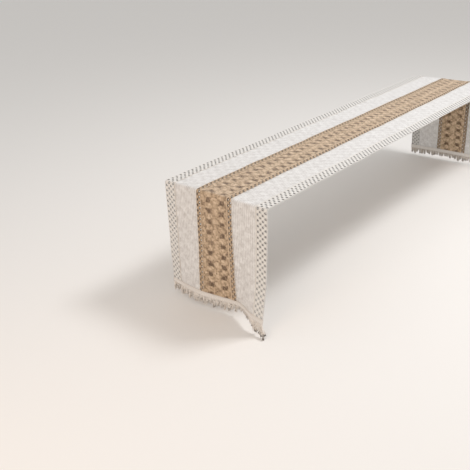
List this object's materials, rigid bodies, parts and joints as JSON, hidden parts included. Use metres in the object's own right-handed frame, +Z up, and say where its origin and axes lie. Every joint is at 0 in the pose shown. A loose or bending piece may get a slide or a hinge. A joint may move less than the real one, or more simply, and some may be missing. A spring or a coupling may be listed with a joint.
{
  "type": "table runner",
  "caption": "Cotton and jute lace table runner of sewn strips with fringed ends, draped over a table so both ends hang and can be laid flat.",
  "frame": {"origin": "middle of the underside of the centre jute band, on the table top", "axes": "+Z up from the table top, +Y along the runner towards the back drop, +X across the runner to the right as seen from the front drop"},
  "size_m": [0.305, 1.2937, 0.2931],
  "materials": {
    "cream_lace": "cream cotton crochet lace, matt",
    "white_cotton": "white ribbed cotton dobby cloth, matt",
    "jute_lace": "tan jute eyelet lace, matt",
    "jute_cloth": "tan figured jute and cotton cloth, matt",
    "hem_braid": "cream woven cotton braid, matt",
    "fringe_yarn": "loose cream cotton yarn, matt",
    "sewing_thread": "cream cotton sewing thread, slight sheen"
  },
  "bodies": {
    "table_span": {"left_lace_trim_top": "cream_lace", "left_cotton_band_top": "white_cotton", "left_jute_insertion_top": "jute_lace", "centre_jute_band_top": "jute_cloth", "right_jute_insertion_top": "jute_lace", "right_cotton_band_top": "white_cotton", "right_lace_trim_top": "cream_lace", "left_trim_seam_top": "sewing_thread", "left_outer_insertion_seam_top": "sewing_thread", "left_inner_insertion_seam_top": "sewing_thread", "right_inner_insertion_seam_top": "sewing_thread", "right_outer_insertion_seam_top": "sewing_thread", "right_trim_seam_top": "sewing_thread"},
    "front_drop": {"left_lace_trim_front_drop": "cream_lace", "left_cotton_band_front_drop": "white_cotton", "left_jute_insertion_front_drop": "jute_lace", "centre_jute_band_front_drop": "jute_cloth", "right_jute_insertion_front_drop": "jute_lace", "right_cotton_band_front_drop": "white_cotton", "right_lace_trim_front_drop": "cream_lace", "left_trim_seam_front_drop": "sewing_thread", "left_outer_insertion_seam_front_drop": "sewing_thread", "left_inner_insertion_seam_front_drop": "sewing_thread", "right_inner_insertion_seam_front_drop": "sewing_thread", "right_outer_insertion_seam_front_drop": "sewing_thread", "right_trim_seam_front_drop": "sewing_thread", "hem_band_front_drop": "hem_braid", "hem_seam_front_drop": "sewing_thread", "fringe_front_drop": "fringe_yarn"},
    "back_drop": {"left_lace_trim_back_drop": "cream_lace", "left_cotton_band_back_drop": "white_cotton", "left_jute_insertion_back_drop": "jute_lace", "centre_jute_band_back_drop": "jute_cloth", "right_jute_insertion_back_drop": "jute_lace", "right_cotton_band_back_drop": "white_cotton", "right_lace_trim_back_drop": "cream_lace", "left_trim_seam_back_drop": "sewing_thread", "left_outer_insertion_seam_back_drop": "sewing_thread", "left_inner_insertion_seam_back_drop": "sewing_thread", "right_inner_insertion_seam_back_drop": "sewing_thread", "right_outer_insertion_seam_back_drop": "sewing_thread", "right_trim_seam_back_drop": "sewing_thread", "hem_band_back_drop": "hem_braid", "hem_seam_back_drop": "sewing_thread", "fringe_back_drop": "fringe_yarn"}
  },
  "joints": [
    {"name": "front_drop_fold", "type": "hinge", "parent": "table_span", "child": "front_drop", "pos_m": [0, -0.6245, 0], "axis": [-1, 0, 0], "range_deg": [0, 90]},
    {"name": "back_drop_fold", "type": "hinge", "parent": "table_span", "child": "back_drop", "pos_m": [0, 0.6245, 0], "axis": [1, 0, 0], "range_deg": [0, 90]}
  ]
}
